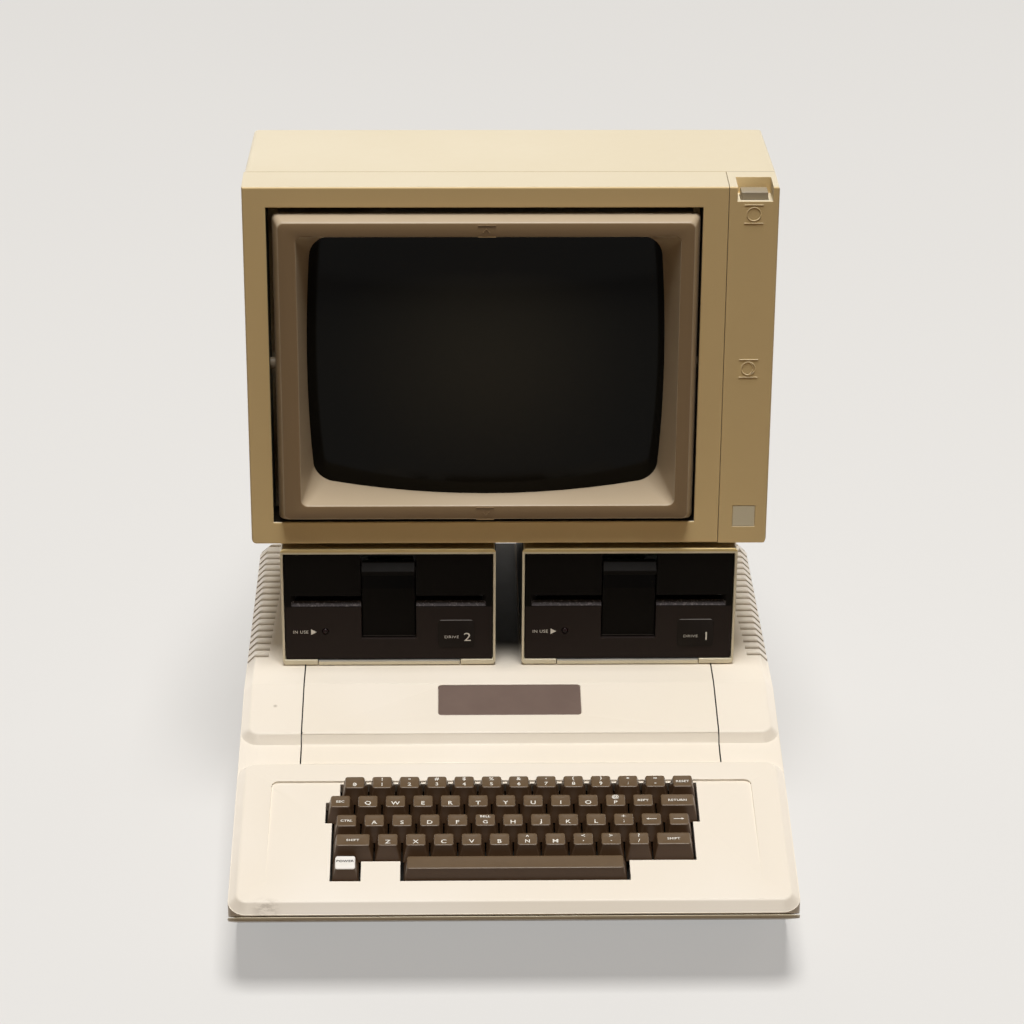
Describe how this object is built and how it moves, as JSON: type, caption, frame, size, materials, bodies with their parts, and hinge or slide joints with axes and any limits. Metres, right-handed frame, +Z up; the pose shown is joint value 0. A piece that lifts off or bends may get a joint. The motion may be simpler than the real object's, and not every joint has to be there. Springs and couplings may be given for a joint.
{
  "type": "vintage home computer",
  "caption": "Beige wedge-case home computer with built-in brown keyboard, disk drives side by side on its lid and a monitor with a tilting screen on top.",
  "frame": {"origin": "on the desk under the middle of the whole machine's box", "axes": "+Z up, front (keyboard and screen) towards -Y, +X to the right of whoever sits at the keys"},
  "size_m": [0.387, 0.5954, 0.4819],
  "materials": {
    "case_plastic": "textured moulded beige plastic",
    "base_steel": "painted steel sheet",
    "rubber": "matt black rubber",
    "screw_steel": "plated steel",
    "nameplate_metal": "satin brown-grey plate",
    "emblem_metal": "satin plate",
    "key_plastic": "two-shot brown key plastic, lightly textured",
    "lamp_cap_plastic": "white translucent plastic",
    "switch_plastic": "black plastic",
    "circuit_board": "green board with solder mask",
    "plated_steel": "plated steel sheet",
    "drive_paint": "beige painted steel sheet",
    "drive_casting": "cast aluminium",
    "drive_black": "black moulded plastic",
    "motor_steel": "steel can",
    "lamp_red": "red lamp lens",
    "monitor_plastic": "textured beige plastic",
    "screen_plastic": "taupe moulded plastic",
    "tube_glass": "dark grey-green phosphor glass",
    "yoke": "copper winding in plastic former"
  },
  "bodies": {
    "root": {"case_shell": "case_plastic", "lid": "case_plastic", "base_pan": "base_steel", "base_feet": "rubber", "drive_feet": "rubber", "monitor_feet": "rubber", "base_screws": "screw_steel", "nameplate": "nameplate_metal", "monitor_emblem": "emblem_metal", "power_lamp_cap": "lamp_cap_plastic", "keyboard_plate": "switch_plastic", "expansion_sockets": "switch_plastic", "mains_inlet": "switch_plastic", "speaker": "switch_plastic", "monitor_jacks": "switch_plastic", "keyboard_board": "circuit_board", "main_board": "circuit_board", "controller_card": "circuit_board", "left_drive_board": "circuit_board", "right_drive_board": "circuit_board", "monitor_board": "circuit_board", "power_supply": "plated_steel", "rear_jacks": "plated_steel", "left_drive_cover": "drive_paint", "right_drive_cover": "drive_paint", "left_drive_chassis": "drive_casting", "right_drive_chassis": "drive_casting", "left_drive_bezel": "drive_black", "right_drive_bezel": "drive_black", "left_drive_motor": "motor_steel", "right_drive_motor": "motor_steel", "drive_lamps": "lamp_red", "monitor_housing": "monitor_plastic", "monitor_front": "monitor_plastic"},
    "number_keys": {"number_row_keys": "key_plastic"},
    "upper_keys": {"upper_row_keys": "key_plastic"},
    "home_keys": {"home_row_keys": "key_plastic"},
    "lower_keys": {"lower_row_keys": "key_plastic"},
    "escape": {"escape_key": "key_plastic"},
    "repeat": {"repeat_key": "key_plastic"},
    "return": {"return_key": "key_plastic"},
    "reset": {"reset_key": "key_plastic"},
    "control": {"control_key": "key_plastic"},
    "left_arrow": {"left_arrow_key": "key_plastic"},
    "right_arrow": {"right_arrow_key": "key_plastic"},
    "left_shift": {"left_shift_key": "key_plastic"},
    "right_shift": {"right_shift_key": "key_plastic"},
    "space": {"space_bar": "key_plastic"},
    "mains_rocker": {"mains_switch": "switch_plastic"},
    "left_door": {"left_drive_door": "drive_black"},
    "left_hub": {"left_drive_hub": "drive_casting"},
    "left_head": {"left_drive_head": "drive_casting"},
    "right_door": {"right_drive_door": "drive_black"},
    "right_hub": {"right_drive_hub": "drive_casting"},
    "right_head": {"right_drive_head": "drive_casting"},
    "screen": {"screen_frame": "screen_plastic", "picture_tube": "tube_glass", "deflection_yoke": "yoke"},
    "monitor_button": {"monitor_switch": "monitor_plastic"},
    "dimmer": {"brightness_wheel": "monitor_plastic"}
  },
  "joints": [
    {"name": "number_keys_press", "type": "slide", "parent": "root", "child": "number_keys", "axis": [0, 0.2062, -0.9785], "range_m": [0, 0.0038], "stiffness_N_per_m": 1440, "springref_m": -0.004},
    {"name": "upper_keys_press", "type": "slide", "parent": "root", "child": "upper_keys", "axis": [0, 0.2062, -0.9785], "range_m": [0, 0.0038], "stiffness_N_per_m": 1200, "springref_m": -0.004},
    {"name": "home_keys_press", "type": "slide", "parent": "root", "child": "home_keys", "axis": [0, 0.2062, -0.9785], "range_m": [0, 0.0038], "stiffness_N_per_m": 1200, "springref_m": -0.004},
    {"name": "lower_keys_press", "type": "slide", "parent": "root", "child": "lower_keys", "axis": [0, 0.2062, -0.9785], "range_m": [0, 0.0038], "stiffness_N_per_m": 1200, "springref_m": -0.004},
    {"name": "escape_press", "type": "slide", "parent": "root", "child": "escape", "axis": [0, 0.2062, -0.9785], "range_m": [0, 0.0038], "stiffness_N_per_m": 120, "springref_m": -0.004},
    {"name": "repeat_press", "type": "slide", "parent": "root", "child": "repeat", "axis": [0, 0.2062, -0.9785], "range_m": [0, 0.0038], "stiffness_N_per_m": 120, "springref_m": -0.004},
    {"name": "return_press", "type": "slide", "parent": "root", "child": "return", "axis": [0, 0.2062, -0.9785], "range_m": [0, 0.0038], "stiffness_N_per_m": 180, "springref_m": -0.004},
    {"name": "reset_press", "type": "slide", "parent": "root", "child": "reset", "axis": [0, 0.2062, -0.9785], "range_m": [0, 0.0038], "stiffness_N_per_m": 180, "springref_m": -0.004},
    {"name": "control_press", "type": "slide", "parent": "root", "child": "control", "axis": [0, 0.2062, -0.9785], "range_m": [0, 0.0038], "stiffness_N_per_m": 120, "springref_m": -0.004},
    {"name": "left_arrow_press", "type": "slide", "parent": "root", "child": "left_arrow", "axis": [0, 0.2062, -0.9785], "range_m": [0, 0.0038], "stiffness_N_per_m": 120, "springref_m": -0.004},
    {"name": "right_arrow_press", "type": "slide", "parent": "root", "child": "right_arrow", "axis": [0, 0.2062, -0.9785], "range_m": [0, 0.0038], "stiffness_N_per_m": 120, "springref_m": -0.004},
    {"name": "left_shift_press", "type": "slide", "parent": "root", "child": "left_shift", "axis": [0, 0.2062, -0.9785], "range_m": [0, 0.0038], "stiffness_N_per_m": 180, "springref_m": -0.004},
    {"name": "right_shift_press", "type": "slide", "parent": "root", "child": "right_shift", "axis": [0, 0.2062, -0.9785], "range_m": [0, 0.0038], "stiffness_N_per_m": 180, "springref_m": -0.004},
    {"name": "space_press", "type": "slide", "parent": "root", "child": "space", "axis": [0, 0.2062, -0.9785], "range_m": [0, 0.0038], "stiffness_N_per_m": 240, "springref_m": -0.004},
    {"name": "mains_rocker_tip", "type": "hinge", "parent": "root", "child": "mains_rocker", "pos_m": [-0.1645, 0.1515, 0.038], "axis": [1, 0, 0], "range_deg": [0, 16]},
    {"name": "left_door_swing", "type": "hinge", "parent": "root", "child": "left_door", "pos_m": [-0.0876, -0.0422, 0.1954], "axis": [-1, 0, 0], "range_deg": [0, 60]},
    {"name": "left_hub_spin", "type": "hinge", "parent": "root", "child": "left_hub", "pos_m": [-0.0876, 0.0253, 0.156], "axis": [0, 0, 1], "continuous": true},
    {"name": "left_head_step", "type": "slide", "parent": "root", "child": "left_head", "axis": [0, -1, 0], "range_m": [0, 0.0185]},
    {"name": "right_door_swing", "type": "hinge", "parent": "root", "child": "right_door", "pos_m": [0.0876, -0.0422, 0.1954], "axis": [-1, 0, 0], "range_deg": [0, 60]},
    {"name": "right_hub_spin", "type": "hinge", "parent": "root", "child": "right_hub", "pos_m": [0.0876, 0.0253, 0.156], "axis": [0, 0, 1], "continuous": true},
    {"name": "right_head_step", "type": "slide", "parent": "root", "child": "right_head", "axis": [0, -1, 0], "range_m": [0, 0.0185]},
    {"name": "screen_tilt", "type": "hinge", "parent": "root", "child": "screen", "pos_m": [-0.01815, -0.02504, 0.34723], "axis": [-1, 0, 0], "range_deg": [-6, 8]},
    {"name": "monitor_button_press", "type": "slide", "parent": "root", "child": "monitor_button", "axis": [0, -0.0523, -0.9986], "range_m": [0, 0.0025], "stiffness_N_per_m": 300, "springref_m": -0.002},
    {"name": "dimmer_turn", "type": "hinge", "parent": "root", "child": "dimmer", "pos_m": [0.1737, -0.02304, 0.34727], "axis": [0, 0.0523, 0.9986], "range_deg": [-135, 135]}
  ]
}
